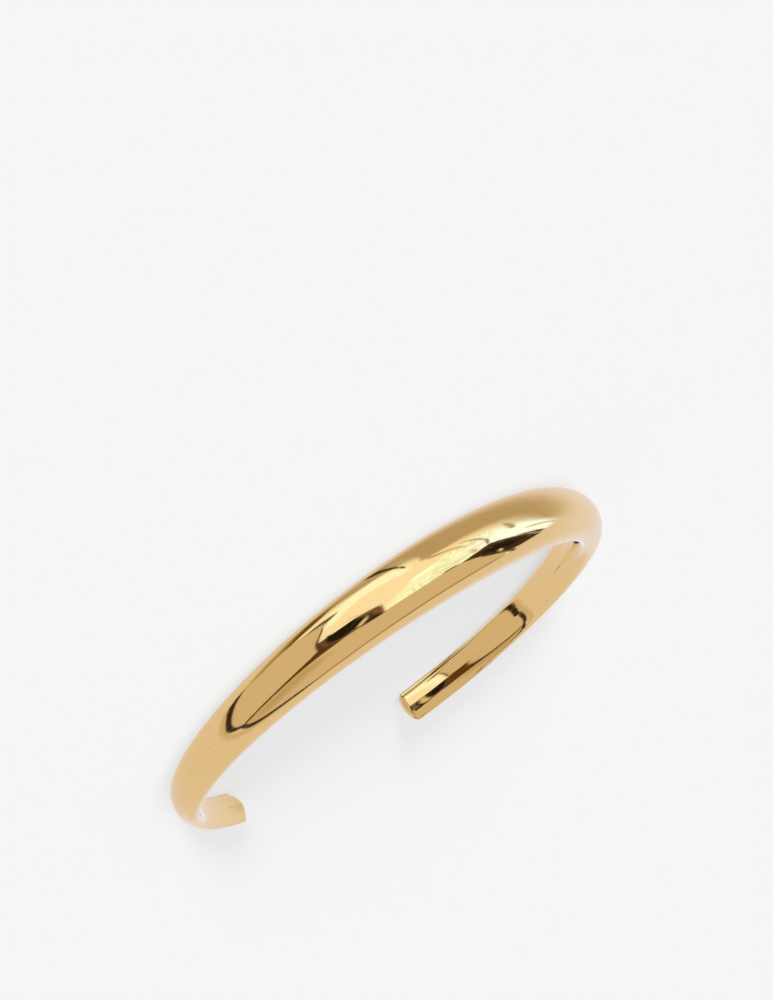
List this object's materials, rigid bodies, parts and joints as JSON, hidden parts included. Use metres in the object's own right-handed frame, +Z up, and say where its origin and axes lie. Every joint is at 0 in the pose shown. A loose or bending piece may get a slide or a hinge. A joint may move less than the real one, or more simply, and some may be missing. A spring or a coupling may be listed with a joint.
{
  "type": "open cuff bracelet",
  "caption": "Open oval cuff bracelet in polished yellow gold, thick and domed at the front, tapering to two thin ends.",
  "frame": {"origin": "middle of the bounding box, on the surface that the cuff lies on", "axes": "+Z up out of that surface, the thick domed front towards -Y, the gap between the ends towards +Y, side to side along X"},
  "size_m": [0.0646, 0.055, 0.0074],
  "materials": {
    "gold": "mirror-polished yellow gold plating with fine hairline scratches"
  },
  "bodies": {
    "root": {"cuff": "gold"}
  },
  "joints": []
}
